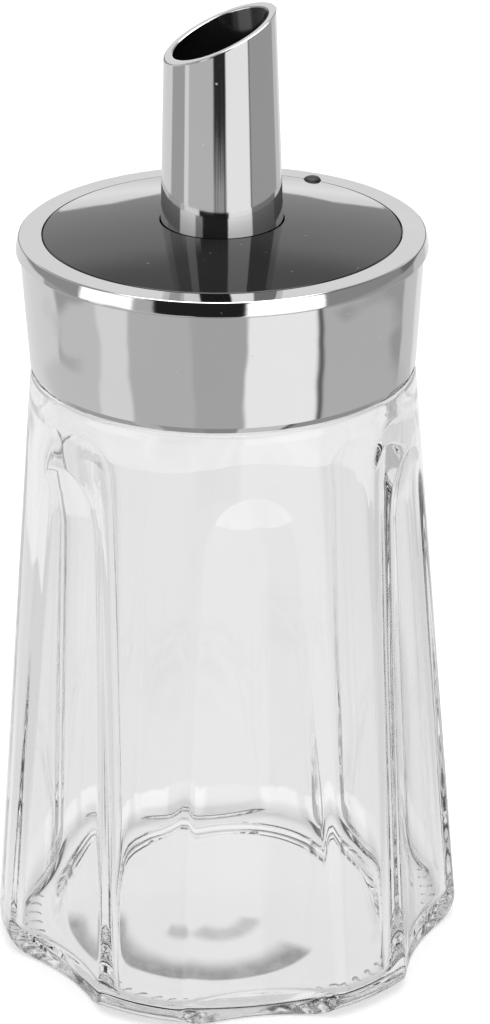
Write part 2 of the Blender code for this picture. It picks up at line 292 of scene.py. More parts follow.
# Right behind the object the middle layer starts lower, and the horizon grows brighter upwards.
# The spans are degrees from straight behind.
MIDDLE_RAISE = (0.8, 4.0)
MIDDLE_RAISE_SPAN = (1.0, 5.0)
BEHIND_GLOW = (0.6, 1.3)
BEHIND_GLOW_UP_TO = 8.0
BEHIND_GLOW_SPAN = (8.0, 10.0)

# Rays that pass through glass see this narrower range of levels
THROUGH_GLASS = (0.35, 0.93)
GLASS_BOUNCES = 24
MIRROR_BOUNCES = 16

# Table, and a backdrop round it that only the camera sees
STAGE_STEPS = 96
TABLE_RADIUS = 4.0
TABLE_Z = -0.1 * MM
TABLE_SHADES = (0.42, 0.44)
TABLE_CLOUD_SCALE = 3.0
TABLE_ROUGHNESS = 0.6
TABLE_GLOW = 0.6
BACKDROP_RADIUS = 4.2
BACKDROP_STEPS = (64, 32)
BACKDROP_SHADES = (1.0, 0.99)
BACKDROP_CLOUD_SCALE = 0.3

# Paper that only the glass sees, glowing with painted light: darker at the sides, brighter in
# front, with painted shade round the foot
PAPER_RADIUS = 0.185
PAPER_Z = -0.2 * MM
PAPER_LEVEL = 0.82
PAPER_SIDE_LEVEL = 0.68
PAPER_EDGE = (0.045, 0.080)
PAPER_FRONT = (0.045, 0.150)
FOOT_SHADOW = (29.0 * MM, 32.5 * MM, 34.0 * MM, 42.0 * MM)
FOOT_SHADOW_LEVEL = 0.75

# Two arcs of shade on the paper: edges across, ends in degrees from the front, level
SHADOW_SHIFT = (3.0 * MM, 1.5 * MM)
SHADOW_GRAIN_SCALE = 260.0
SHADOW_GRAIN_RANGE = (0.25, 0.6)
SHADOW_GRAIN_LEAST = 0.7
OUTER_SHADOW = (
    (13.0 * MM, 18.5 * MM, 20.3 * MM, 21.3 * MM), (-96.0, -80.0, 50.0, 60.0), 0.3,
)
INNER_SHADOW = (
    (3.0 * MM, 6.0 * MM, 7.0 * MM, 9.5 * MM), (-50.0, -28.0, 70.0, 88.0), 0.6,
)

# Light that the jar throws on the paper behind it, in patches from left to right
GLOW_RING = (32.0 * MM, 34.0 * MM, 45.0 * MM, 46.5 * MM)
GLOW_RAGGED = 3.5 * MM
GLOW_RAGGED_SCALE = 130.0
GLOW_PATCHES = (
    (-31.0 * MM, -20.5 * MM), (-17.5 * MM, -8.0 * MM), (6.0 * MM, 15.5 * MM),
    (19.0 * MM, 27.0 * MM),
)
GLOW_EDGE = 0.8 * MM
GLOW_BEHIND = 10.0 * MM
GLOW_BETWEEN = 0.25
GLOW_LEVEL = 0.16


def lerp(a, b, t):
    """The value a share t of the way from a to b."""
    return a + (b - a) * t


def steps(first, last, count):
    """count values from just after first up to last, evenly spaced."""
    return [lerp(first, last, (i + 1) / count) for i in range(count)]


def smooth(t):
    """An S-shaped ramp from 0 to 1."""
    t = min(max(t, 0.0), 1.0)
    return t * t * (3.0 - 2.0 * t)


def round_inset(height, radius):
    """How far a rounded edge of the given radius has cut in at a height above its start."""
    rest = min(max(radius - height, 0.0), radius)
    return radius - math.sqrt(radius * radius - rest * rest)


def soft_min(a, b, blend):
    """The lesser of two radii, with the corner between them rounded."""
    return 0.5 * (a + b) - math.sqrt(0.25 * (a - b) ** 2 + blend * blend)


def wall_radius(z):
    """Radius of the plain tapered wall between the flutes."""
    return lerp(BASE_RADIUS, SHOULDER_RADIUS, z / SHOULDER_Z)


def flute_floor(z, runout, top_z):
    """Distance of a flute's floor from the axis: straight, then an arc out to the wall."""
    straight = FLUTE_FLOOR_BASE - FLUTE_FLOOR_TAPER * z
    top_gap = wall_radius(top_z) - (FLUTE_FLOOR_BASE - FLUTE_FLOOR_TAPER * top_z)
    rise = max(z - (top_z - runout), 0.0) / runout
    return straight + top_gap * rise * rise


def fluted(plain, floor, hollow_radius, angle, blend):
    """Radius of a section at an angle from a flute's centre line."""
    centre = floor + hollow_radius
    reach = centre * math.sin(angle)
    if abs(reach) >= hollow_radius:
        return plain
    hollow = centre * math.cos(angle) - math.sqrt(hollow_radius ** 2 - reach ** 2)
    depth = max(plain - floor, 0.0)
    return soft_min(plain, hollow, blend * min(depth / MM, 1.0))


def outer_radius(angle, z):
    """Outside of the body: flutes and ribs, with the heel rounded under."""
    plain = wall_radius(z) - round_inset(z, HEEL_ROUND)
    floor = flute_floor(z, FLUTE_RUNOUT, FLUTE_TOP_Z) - round_inset(z, FLUTE_HEEL_ROUND)
    return fluted(plain, floor, FLUTE_HOLLOW_RADIUS, angle, RIB_BLEND)


def inner_radius(angle, z):
    """Inside of the body, which follows the outside with softer corners."""
    plain = wall_radius(z) - WALL
    floor = min(flute_floor(z, INNER_RUNOUT, INNER_TOP_Z) - WALL, plain)
    body = fluted(plain, floor, INNER_HOLLOW_RADIUS, angle, INNER_BLEND)
    body -= round_inset(z - FLOOR_Z, FLOOR_CORNER)
    into_neck = smooth((z - INNER_SHOULDER_Z) / (NECK_BORE_Z - INNER_SHOULDER_Z))
    return lerp(body, NECK_BORE_RADIUS, into_neck)


def corner_angle(z):
    """Angle from a flute's centre line at which its hollow meets the plain wall."""
    if z >= FLUTE_TOP_Z:
        return SMALLEST_CORNER
    plain = wall_radius(z)
    centre = flute_floor(z, FLUTE_RUNOUT, FLUTE_TOP_Z) + FLUTE_HOLLOW_RADIUS
    cosine = (plain ** 2 + centre ** 2 - FLUTE_HOLLOW_RADIUS ** 2) / (2.0 * plain * centre)
    return max(math.acos(min(cosine, 1.0)), SMALLEST_CORNER)


def half_columns(z):
    """Angles over half a flute and half a rib, closest together at the corner between them."""
    corner = corner_angle(z)
    width = min(CORNER_HALF_WIDTH, CORNER_SHARE * corner)
    angles = [0.0] + steps(0.0, corner - width, COLUMNS_IN_FLUTE)
    angles += steps(corner - width, corner + width, COLUMNS_AT_CORNER)
    return angles + steps(corner + width, HALF_PERIOD, COLUMNS_ON_RIB)


def column_angles(z):
    """Every column's angle round the jar at a height, measured from -Y."""
    half = half_columns(z)
    local = [-a for a in reversed(half[1:-1])] + half
    return [JAR_TURN + PERIOD * i + a for i in range(FLUTES) for a in local]


def local_angle(angle):
    """The angle from the nearest flute's centre line."""
    return (angle - JAR_TURN + HALF_PERIOD) % PERIOD - HALF_PERIOD


def turned_from_view(angle):
    """How far an angle round the jar lies from the side that faces the camera."""
    return (angle - VIEW_AZIMUTH + math.pi) % (2.0 * math.pi) - math.pi


def unevenness(point, strength, offset):
    """A slow, smooth wander of a glass surface, faded out at the foot and the neck."""
    fade = smooth((point.z - WAVE_START_Z) / WAVE_FADE_IN)
    fade *= 1.0 - smooth((point.z - WAVE_END_Z) / WAVE_FADE_OUT)
    stretched = Vector((point.x, point.y, WAVE_STRETCH * point.z)) / WAVE_LENGTH
    return strength * fade * noise.noise(stretched + Vector((offset, 0.0, 0.0)))


def polar(radius, angle, z):
    """A point by its radius, its angle from -Y and its height."""
    return Vector((radius * math.sin(angle), -radius * math.cos(angle), z))


def arc(centre_x, centre_z, radius, start, end, count):
    """Points on an arc in the XZ plane, angles in degrees from +X towards +Z."""
    points = []
    for i in range(count + 1):
        angle = math.radians(lerp(start, end, i / count))
        points.append((centre_x + radius * math.cos(angle), centre_z + radius * math.sin(angle)))
    return points


def quarter_heights(radius, count):
    """Heights that step evenly round a quarter circle from 0 to its radius."""
    turns = [0.5 * math.pi * i / count for i in range(1, count + 1)]
    return [radius * (1.0 - math.cos(turn)) for turn in turns]


def jar_rings():
    """The jar's rings of points, from the heel's foot over the rim to the inside floor."""
    rings = []

    def body_ring(radius_of, z, strength, offset):
        ring = []
        for angle in column_angles(z):
            point = polar(radius_of(local_angle(angle), z), angle, z)
            wander = unevenness(point, strength, offset)
            ring.append(point + polar(wander, angle, 0.0))
        rings.append(ring)

    def round_ring(radius, z):
        rings.append([polar(radius, angle, z) for angle in column_angles(z)])

    heights = [0.0] + quarter_heights(HEEL_ROUND, HEEL_RINGS)
    heights += steps(HEEL_ROUND, FLUTE_TOP_Z - FLUTE_RUNOUT, STRAIGHT_RINGS)
    heights += steps(FLUTE_TOP_Z - FLUTE_RUNOUT, FLUTE_TOP_Z + ARCH_EDGE, ARCH_RINGS)
    heights += steps(FLUTE_TOP_Z + ARCH_EDGE, SHOULDER_Z - SHOULDER_ROUND, SHOULDER_RINGS)
    for z in heights:
        body_ring(outer_radius, z, WAVE_OUTSIDE, 0.0)

    centre_r = SHOULDER_RADIUS - SHOULDER_ROUND
    centre_z = SHOULDER_Z - SHOULDER_ROUND
    for radius, z in arc(centre_r, centre_z, SHOULDER_ROUND, *SHOULDER_ARC):
        round_ring(radius, z)
    round_ring(NECK_RADIUS, SHOULDER_Z)
    rim_z = RIM_Z - RIM_ROUND
    for radius, z in arc(NECK_RADIUS - RIM_ROUND, rim_z, RIM_ROUND, *RIM_OUTER_ARC):
        round_ring(radius, z)
    for radius, z in arc(NECK_BORE_RADIUS + RIM_ROUND, rim_z, RIM_ROUND, *RIM_INNER_ARC):
        round_ring(radius, z)

    heights = [NECK_BORE_Z] + steps(NECK_BORE_Z, INNER_SHOULDER_Z, NECK_RINGS)
    heights += steps(INNER_SHOULDER_Z, INNER_TOP_Z - INNER_RUNOUT, INNER_ARCH_RINGS)
    heights += steps(INNER_TOP_Z - INNER_RUNOUT, FLOOR_Z + FLOOR_CORNER, INNER_STRAIGHT_RINGS)
    corner = [0.0] + quarter_heights(FLOOR_CORNER, FLOOR_CORNER_RINGS)[:-1]
    heights += [FLOOR_Z + h for h in reversed(corner)]
    for z in heights:
        body_ring(inner_radius, z, WAVE_INSIDE, INSIDE_WAVE_SHIFT)

    edge = rings[-1]
    for share in FLOOR_SHARES:
        z = FLOOR_Z + FLOOR_CROWN * (1.0 - share * share)
        rings.append([Vector((p.x * share, p.y * share, z)) for p in edge])
    return rings


def mark_rise(radius, angle):
    """How far the foot ring is pressed up at a place, by the curved marks under the ribs."""
    along = (radius - MARK_MIDDLE) / MARK_HALF_LENGTH
    if abs(along) >= 1.0:
        return 0.0
    pitch = 2.0 * math.pi / MARKS
    off = (angle / pitch - math.floor(angle / pitch) - 0.5) * pitch * radius
    off -= MARK_BOW * (along * along - 0.5)
    ends = smooth(MARK_END_STEEPNESS * (1.0 - abs(along)))
    on_rib = smooth((abs(local_angle(angle)) - MARK_START) / MARK_FADE)
    in_front = 1.0 - smooth((abs(turned_from_view(angle)) - MARK_REACH) / MARK_FADE)
    return MARK_DEPTH * ends * on_rib * in_front * math.exp(-((off / MARK_WIDTH) ** 2))


def foot_rings():
    """Rings across the foot from the marks' outer edge to the middle of the hollow underside."""
    fine = [2.0 * math.pi * i / (MARKS * MARK_COLUMNS) for i in range(MARKS * MARK_COLUMNS)]
    coarse = fine[::MARKS_TO_PUNT]
    marked = []
    edge = [outer_radius(local_angle(angle), 0.0) - MARK_RING_MARGIN for angle in fine]
    for share in [0.0] + steps(0.0, 1.0, MARK_RINGS):
        ring = []
        for angle, outer in zip(fine, edge):
            radius = lerp(outer, MARK_RING_INNER, share)
            ring.append(polar(radius, angle, mark_rise(radius, angle)))
        marked.append(ring)
    middle = [[polar(PUNT_RADIUS, angle, 0.0) for angle in coarse]]
    for share in PUNT_SHARES:
        radius = (PUNT_RADIUS - PUNT_EDGE) * share
        z = lerp(PUNT_DEPTH, PUNT_EDGE_DEPTH, share * share)
        middle.append([polar(radius, angle, z) for angle in coarse])
    return marked, middle


def add_ring(maker, points):
    """A ring of vertices."""
    return [maker.verts.new(point) for point in points]


def bridge(maker, ring, other):
    """Faces between two rings, where the first has the same count as the other or a multiple."""
    ratio = len(ring) // len(other)
    count = len(other)
    for i in range(count):
        j = (i + 1) % count
        start = i * ratio
        span = [ring[(start + k) % len(ring)] for k in range(ratio + 1)]
        if ratio == 1:
            maker.faces.new((span[0], span[1], other[j], other[i]))
            continue
        half = (ratio + 1) // 2
        for k in range(half):
            maker.faces.new((span[k], span[k + 1], other[i]))
        maker.faces.new((span[half], other[j], other[i]))
        for k in range(half, ratio):
            maker.faces.new((span[k], span[k + 1], other[j]))


def close(maker, ring, z):
    """A fan from a ring to a point on the axis."""
    tip = maker.verts.new((0.0, 0.0, z))
    for i in range(len(ring)):
        maker.faces.new((ring[i], ring[(i + 1) % len(ring)], tip))


def ring_edges(maker, ring):
    """The edges round a ring of vertices."""
    found = []
    for i in range(len(ring)):
        pair = (ring[i], ring[(i + 1) % len(ring)])
        found.append(maker.edges.get(pair) or maker.edges.new(pair))
    return found


def finish_mesh(maker, name):
    """A smooth mesh with its faces pointing out."""
    bmesh.ops.recalc_face_normals(maker, faces=maker.faces[:])
    mesh = bpy.data.meshes.new(name)
    maker.to_mesh(mesh)
    maker.free()
    mesh.shade_smooth()
    return mesh


def jar_mesh():
    """The jar as one closed glass body."""
    maker = bmesh.new()
    body = [add_ring(maker, ring) for ring in jar_rings()]
    for lower, upper in zip(body, body[1:]):
        bridge(maker, lower, upper)
    close(maker, body[-1], FLOOR_Z + FLOOR_CROWN)
    marked, middle = foot_rings()
    marked = [add_ring(maker, ring) for ring in marked]
    middle = [add_ring(maker, ring) for ring in middle]
    for outer, inner in zip(marked, marked[1:]):
        bridge(maker, outer, inner)
    bridge(maker, marked[-1], middle[0])
    for outer, inner in zip(middle, middle[1:]):
        bridge(maker, outer, inner)
    close(maker, middle[-1], PUNT_DEPTH)
    edges = ring_edges(maker, body[0]) + ring_edges(maker, marked[0])
    bmesh.ops.triangle_fill(maker, use_beauty=True, edges=edges)
    return finish_mesh(maker, "jar_glass")


def turned_mesh(profile, name):
    """A smooth mesh from a closed outline in the XZ plane turned about the Z axis."""
    maker = bmesh.new()
    rings = []
    for i in range(TURNED_STEPS):
        angle = 2.0 * math.pi * i / TURNED_STEPS
        rings.append([maker.verts.new(polar(x, angle, z)) for x, z in profile])
    for i in range(TURNED_STEPS):
        ring = rings[i]
        after = rings[(i + 1) % TURNED_STEPS]
        for k in range(len(profile)):
            m = (k + 1) % len(profile)
            maker.faces.new((ring[k], after[k], after[m], ring[m]))
    return finish_mesh(maker, name)


def add_piece(name, mesh, nodes, materials):
    """An object that stands for CAD nodes and rides on the body."""
    piece = bpy.data.objects.new(name, mesh)
    bpy.context.scene.collection.objects.link(piece)
    for material in materials:
        mesh.materials.append(material)
    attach(piece, BODY)
    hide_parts(*nodes)


def collar_profile():
    """The collar's outline, from the ring's inner edge out, down the wall and back up inside."""
    hem_z = COLLAR_BOTTOM_Z + COLLAR_HEM_HEIGHT
    hem_share = COLLAR_HEM_HEIGHT / (LIP_BOTTOM_Z - COLLAR_BOTTOM_Z)
    hem_wall = lerp(COLLAR_BOTTOM_RADIUS, COLLAR_TOP_RADIUS, hem_share)
    inner_bottom = COLLAR_BOTTOM_RADIUS - COLLAR_WALL
    inner_top = COLLAR_TOP_RADIUS - COLLAR_WALL
    profile = [(RING_INNER_RADIUS, LIP_TOP_Z)]
    top_x = LIP_SHOULDER_RADIUS - LIP_TOP_ROUND
    top_z = LIP_TOP_Z - LIP_TOP_ROUND
    profile += [(top_x - LIP_ROUND_START, LIP_TOP_Z)]
    profile += arc(top_x, top_z, LIP_TOP_ROUND, *LIP_TOP_ARC)
    under_x = LIP_RADIUS - LIP_UNDER_ROUND
    under_z = LIP_BOTTOM_Z + LIP_UNDER_ROUND
    facet_top = profile[-1]
    under = arc(under_x, under_z, LIP_UNDER_ROUND, *LIP_UNDER_ARC)
    for share in LIP_FACET_SHARES:
        bulge = LIP_FACET_BULGE * math.sin(math.pi * share)
        x = lerp(facet_top[0], under[0][0], share) + bulge
        profile.append((x, lerp(facet_top[1], under[0][1], share)))
    profile += under + [(COLLAR_TOP_RADIUS, LIP_BOTTOM_Z)]
    for share in COLLAR_WALL_SHARES:
        z = lerp(hem_z, LIP_BOTTOM_Z, share)
        profile.append((lerp(hem_wall, COLLAR_TOP_RADIUS, share), z))
    profile += arc(hem_wall - COLLAR_HEM_INSET, hem_z, COLLAR_HEM_INSET, *HEM_ARC)
    profile += [(COLLAR_BOTTOM_RADIUS - COLLAR_HEM_INSET, COLLAR_BOTTOM_Z)]
    profile += [(inner_bottom, COLLAR_BOTTOM_Z), (inner_top, RING_UNDERSIDE_Z)]
    profile += [(RING_INNER_RADIUS, RING_UNDERSIDE_Z)]
    return profile


def disc_profile():
    """The disc's outline, from its bore out over the dome, down the edge and back."""
    dome = []
    edge_x = DISC_RADIUS - DISC_EDGE_ROUND
    for i in range(DISC_RINGS + 1):
        x = lerp(DISC_BORE_RADIUS, edge_x, i / DISC_RINGS)
        dome.append((x, lerp(DISC_CROWN_Z, DISC_EDGE_Z, (x / edge_x) ** 2)))
    edge = arc(edge_x, DISC_EDGE_Z - DISC_EDGE_ROUND, DISC_EDGE_ROUND, *DISC_EDGE_ARC)
    return dome + edge + [(DISC_RADIUS, DISC_BOTTOM_Z), (DISC_BORE_RADIUS, DISC_BOTTOM_Z)]


def sharpen(mesh, angle_deg):
    """Keep edges crisp where faces meet at more than an angle."""
    mesh.set_sharp_from_angle(angle=math.radians(angle_deg))
    return mesh


def boolean_mesh(name, mesh, cutter, operation):
    """The mesh after a Boolean with a cutter mesh."""
    item = bpy.data.objects.new(name + "_stock", mesh)
    tool = bpy.data.objects.new(name + "_tool", cutter)
    for thing in (item, tool):
        bpy.context.scene.collection.objects.link(thing)
    modifier = item.modifiers.new("Cut", "BOOLEAN")
    modifier.operation = operation
    modifier.solver = "EXACT"
    modifier.object = tool
    shown = item.evaluated_get(bpy.context.evaluated_depsgraph_get())
    made = bpy.data.meshes.new_from_object(shown)
    made.name = name
    for thing in (item, tool):
        bpy.data.objects.remove(thing, do_unlink=True)
    return made


def notch_mesh():
    """The upright cylinder that cuts the round notch for the disc's lug."""
    maker = bmesh.new()
    radius = LUG_RADIUS + LUG_GAP
    bottom = RING_UNDERSIDE_Z - MM
    top = LIP_TOP_Z + MM
    place = Matrix.Translation(polar(DISC_RADIUS, LUG_AZIMUTH, 0.5 * (bottom + top)))
    bmesh.ops.create_cone(
        maker, cap_ends=True, segments=LUG_STEPS, radius1=radius, radius2=radius,
        depth=top - bottom, matrix=place,
    )
    return finish_mesh(maker, "notch")


def collar_mesh():
    """The collar, with the notch for the disc's lug."""
    stock = turned_mesh(collar_profile(), "collar")
    made = boolean_mesh("collar_chrome", stock, notch_mesh(), "DIFFERENCE")
    made.shade_smooth()
    return sharpen(made, LID_SHARP_DEG)


def disc_mesh():
    """The domed disc, with its lug."""
    stock = turned_mesh(disc_profile(), "disc")
    maker = bmesh.new()
    place = Matrix.Translation(polar(DISC_RADIUS, LUG_AZIMUTH, DISC_EDGE_Z))
    shape = Matrix.Diagonal((LUG_RADIUS, LUG_RADIUS, LUG_HEIGHT, 1.0))
    bmesh.ops.create_uvsphere(
        maker, u_segments=LUG_STEPS, v_segments=LUG_STEPS // 2, radius=1.0, matrix=place @ shape
    )
    lug = finish_mesh(maker, "lug")
    made = boolean_mesh("disc_black", stock, lug, "UNION")
    made.shade_smooth()
    return sharpen(made, LID_SHARP_DEG)


def mouth_height(x):
    """Height of the slanted mouth's plane, which rises towards +X."""
    return MOUTH_CENTRE_Z + x * math.tan(MOUTH_TILT)


def spout_radius(z):
    """Outer radius of the tapered spout."""
    share = (z - SPOUT_BOTTOM_Z) / (SPOUT_STOCK_Z - SPOUT_BOTTOM_Z)
    return lerp(SPOUT_FOOT_RADIUS, SPOUT_TOP_RADIUS, share)


def on_mouth(inset, angle):
    """A point on the mouth's plane where the wall, moved in by inset, meets it."""
    z = MOUTH_CENTRE_Z
    for _ in range(MOUTH_PASSES):
        radius = spout_radius(z) - inset
        z = mouth_height(radius * math.sin(angle))
    return polar(radius, angle, z)


def spout_mesh():
    """The spout: outer wall, rounded rim on a slant, and the bore, with the bore a face group."""
    maker = bmesh.new()
    columns = [2.0 * math.pi * i / SPOUT_STEPS for i in range(SPOUT_STEPS)]
    normal = Vector((-math.sin(MOUTH_TILT), 0.0, math.cos(MOUTH_TILT)))
    rings = []

    def wall_rings(inset, rim, shares):
        for share in shares:
            ring = []
            for angle, top in zip(columns, rim):
                z = lerp(SPOUT_BOTTOM_Z, top.z, share)
                ring.append(polar(spout_radius(z) - inset, angle, z))
            rings.append(ring)

    outer_rim = [on_mouth(0.0, a) for a in columns]
    inner_rim = [on_mouth(SPOUT_WALL, a) for a in columns]
    low = 1.0 - SPOUT_RIM_ROUND / (MOUTH_CENTRE_Z - SPOUT_BOTTOM_Z)
    near = low - SPOUT_RIM_LEAD * SPOUT_RIM_ROUND / (MOUTH_CENTRE_Z - SPOUT_BOTTOM_Z)
    wall_rings(0.0, outer_rim, (*SPOUT_WALL_SHARES, near, low))
    for turn in SPOUT_RIM_TURNS:
        inset = SPOUT_RIM_ROUND * (1.0 - math.cos(math.radians(turn)))
        drop = SPOUT_RIM_ROUND * (1.0 - math.sin(math.radians(turn)))
        rings.append([on_mouth(inset, a) - normal * drop for a in columns])
    for turn in reversed(SPOUT_RIM_TURNS):
        inset = SPOUT_WALL - SPOUT_RIM_ROUND * (1.0 - math.cos(math.radians(turn)))
        drop = SPOUT_RIM_ROUND * (1.0 - math.sin(math.radians(turn)))
        rings.append([on_mouth(inset, a) - normal * drop for a in columns])
    bore_start = len(rings)
    wall_rings(SPOUT_WALL, inner_rim, (low, *SPOUT_BORE_SHARES))

    made = [add_ring(maker, ring) for ring in rings]
    for k in range(len(made)):
        ring = made[k]
        after = made[(k + 1) % len(made)]
        in_bore = bore_start <= k < len(made) - 1
        for i in range(SPOUT_STEPS):
            j = (i + 1) % SPOUT_STEPS
            face = maker.faces.new((ring[i], ring[j], after[j], after[i]))
            face.material_index = 1 if in_bore else 0
    return sharpen(finish_mesh(maker, "spout_chrome"), SPOUT_SHARP_DEG)


class Nodes:
    """Short calls to lay out a material's nodes."""

    def __init__(self, tree):
        self.tree = tree
        tree.nodes.clear()

    def add(self, kind, **settings):
        node = self.tree.nodes.new(kind)
        for name, value in settings.items():
            setattr(node, name, value)
        return node

    def link(self, source, target):
        self.tree.links.new(source, target)

    def math(self, operation, a, b=None, c=None):
        node = self.add("ShaderNodeMath", operation=operation)
        for socket, value in zip(node.inputs, (a, b, c)):
            self.feed(socket, value)
        return node.outputs[0]

    def feed(self, socket, value):
        if value is None:
            return
        if isinstance(value, (int, float, tuple)):
            socket.default_value = value
        else:
            self.link(value, socket)

    def texture(self, vector, scale, detail=2.0, roughness=0.5):
        node = self.add("ShaderNodeTexNoise")
        self.feed(node.inputs["Vector"], vector)
        node.inputs["Scale"].default_value = scale
        node.inputs["Detail"].default_value = detail
        node.inputs["Roughness"].default_value = roughness
        return node.outputs["Fac"]

    def map(self, value, from_min, from_max, to_min, to_max, kind="LINEAR"):
        node = self.add("ShaderNodeMapRange", interpolation_type=kind)
        self.feed(node.inputs["Value"], value)
        node.inputs["From Min"].default_value = from_min
        node.inputs["From Max"].default_value = from_max
        node.inputs["To Min"].default_value = to_min
        node.inputs["To Max"].default_value = to_max
        return node.outputs["Result"]

    def length(self, x, y):
        across = self.math("MULTIPLY", x, x)
        return self.math("SQRT", self.math("MULTIPLY_ADD", y, y, across))

    def band(self, value, edges):
        """1 between the middle two of four edges, fading to 0 at the outer two."""
        rise = self.map(value, edges[0], edges[1], 0.0, 1.0, "SMOOTHSTEP")
        fall = self.map(value, edges[2], edges[3], 1.0, 0.0, "SMOOTHSTEP")
        return self.math("MULTIPLY", rise, fall)

    def mix_colour(self, share, a, b):
        node = self.add("ShaderNodeMix", data_type="RGBA")
        self.feed(node.inputs[0], share)
        self.feed(node.inputs[6], a)
        self.feed(node.inputs[7], b)
        return node.outputs[2]

    def bump(self, height, strength, distance):
        node = self.add("ShaderNodeBump")
        node.inputs["Strength"].default_value = strength
        node.inputs["Distance"].default_value = distance
        self.feed(node.inputs["Height"], height)
        return node.outputs["Normal"]


def grey(level):
    """An opaque grey."""
    return (level, level, level, 1.0)


def new_material(name):
    """An empty node material with a Principled shader wired to its output."""
    material = bpy.data.materials.new(name)
    material.use_nodes = True
    nodes = Nodes(material.node_tree)
    shader = nodes.add("ShaderNodeBsdfPrincipled")
    output = nodes.add("ShaderNodeOutputMaterial")
    nodes.link(shader.outputs[0], output.inputs["Surface"])
    place = nodes.add("ShaderNodeTexCoord").outputs["Object"]
    return material, nodes, shader, place


def glass_material():
    """Clear pressed glass: faint grey tint, slight haze, and a worn heel."""
    material, nodes, shader, place = new_material("pressed_glass")
    tint = nodes.texture(place, GLASS_TINT_SCALE)
    shade = nodes.mix_colour(tint, grey(GLASS_TINTS[0]), grey(GLASS_TINTS[1]))
    nodes.link(shade, shader.inputs["Base Color"])
    shader.inputs["Transmission Weight"].default_value = 1.0
    shader.inputs["IOR"].default_value = GLASS_IOR
    cloud = nodes.texture(place, GLASS_HAZE_SCALE, 3.0)
    haze = nodes.map(cloud, *GLASS_HAZE_RANGE, 0.0, GLASS_HAZE)
    split = nodes.add("ShaderNodeSeparateXYZ")
    nodes.link(place, split.inputs[0])
    x, y, z = split.outputs
    outward = nodes.map(nodes.length(x, y), *WORN_FROM, 0.0, WORN_ROUGHNESS, "SMOOTHSTEP")
    low = nodes.map(z, *WORN_UP_TO, 1.0, 0.0, "SMOOTHSTEP")
    worn = nodes.math("MULTIPLY", outward, low)
    nodes.link(nodes.math("ADD", haze, worn), shader.inputs["Roughness"])
    return material


def dust_specks(nodes, place, grain, patches, sparse, strength):
    """Specks of dust in sparse patches, 0 where there is none."""
    specks = nodes.add("ShaderNodeTexVoronoi")
    specks.inputs["Scale"].default_value = grain
    nodes.link(place, specks.inputs["Vector"])
    dots = nodes.map(specks.outputs["Distance"], *DUST_GRAIN_EDGE, 1.0, 0.0)
    chosen = nodes.map(nodes.texture(place, patches), *sparse, 0.0, strength)
    return nodes.math("MULTIPLY", dots, chosen)


def chrome_material(name, wave_height):
    """Mirror plating over moulded plastic: slight ripple, haze and a few specks of dust."""
    material, nodes, shader, place = new_material(name)
    dust = dust_specks(nodes, place, *CHROME_DUST)
    clouds = nodes.texture(place, CHROME_CLOUD_SCALE, 3.0)
    plating = nodes.mix_colour(clouds, grey(CHROME_CLOUDED * CHROME_SHADE), grey(CHROME_SHADE))
    nodes.link(nodes.mix_colour(dust, plating, grey(DUST_ON_CHROME)), shader.inputs["Base Color"])
    nodes.link(nodes.map(dust, 0.0, 1.0, 1.0, DUST_METALLIC), shader.inputs["Metallic"])
    haze = nodes.map(clouds, *CHROME_CLOUD_RANGE, *CHROME_ROUGHNESS)
    rough = nodes.math("MULTIPLY_ADD", dust, DUST_ROUGHNESS, haze)
    nodes.link(rough, shader.inputs["Roughness"])
    ripple = nodes.texture(place, CHROME_RIPPLE_SCALE, 1.5)
    nodes.link(nodes.bump(ripple, 1.0, wave_height), shader.inputs["Normal"])
    return material


def black_material(name, roughness):
    """Glossy black moulding with faint haze, slight ripple and dust, and a dull lug."""
    material, nodes, shader, place = new_material(name)
    dust = dust_specks(nodes, place, *BLACK_DUST)
    cloud = nodes.texture(place, BLACK_CLOUD_SCALE, 4.0)
    plain = nodes.mix_colour(cloud, *BLACK_SHADES)
    nodes.link(nodes.mix_colour(dust, plain, grey(DUST_ON_BLACK)), shader.inputs["Base Color"])
    shader.inputs["IOR"].default_value = BLACK_IOR
    haze = nodes.map(cloud, *BLACK_CLOUD_RANGE, *roughness)
    reach = nodes.add("ShaderNodeVectorMath", operation="DISTANCE")
    nodes.link(place, reach.inputs[0])
    reach.inputs[1].default_value = polar(DISC_RADIUS, LUG_AZIMUTH, DISC_EDGE_Z)
    edge = LUG_DULL_REACH * LUG_RADIUS
    dull = nodes.map(reach.outputs["Value"], LUG_RADIUS, edge, LUG_ROUGHNESS, 0.0)
    nodes.link(nodes.math("MAXIMUM", haze, dull), shader.inputs["Roughness"])
    ripple = nodes.texture(place, BLACK_RIPPLE_SCALE)
    nodes.link(nodes.bump(ripple, BLACK_RIPPLE_STRENGTH, BLACK_RIPPLE), shader.inputs["Normal"])
    return material


def floor_material():
    """Matt table, made white by a glow of its own so that only soft shadows show on it."""
    material, nodes, shader, place = new_material("white_table")
    cloud = nodes.texture(place, TABLE_CLOUD_SCALE)
    shade = nodes.mix_colour(cloud, grey(TABLE_SHADES[0]), grey(TABLE_SHADES[1]))
    nodes.link(shade, shader.inputs["Base Color"])
    shader.inputs["Roughness"].default_value = TABLE_ROUGHNESS
    shader.inputs["Emission Color"].default_value = grey(1.0)
    shader.inputs["Emission Strength"].default_value = TABLE_GLOW
    return material


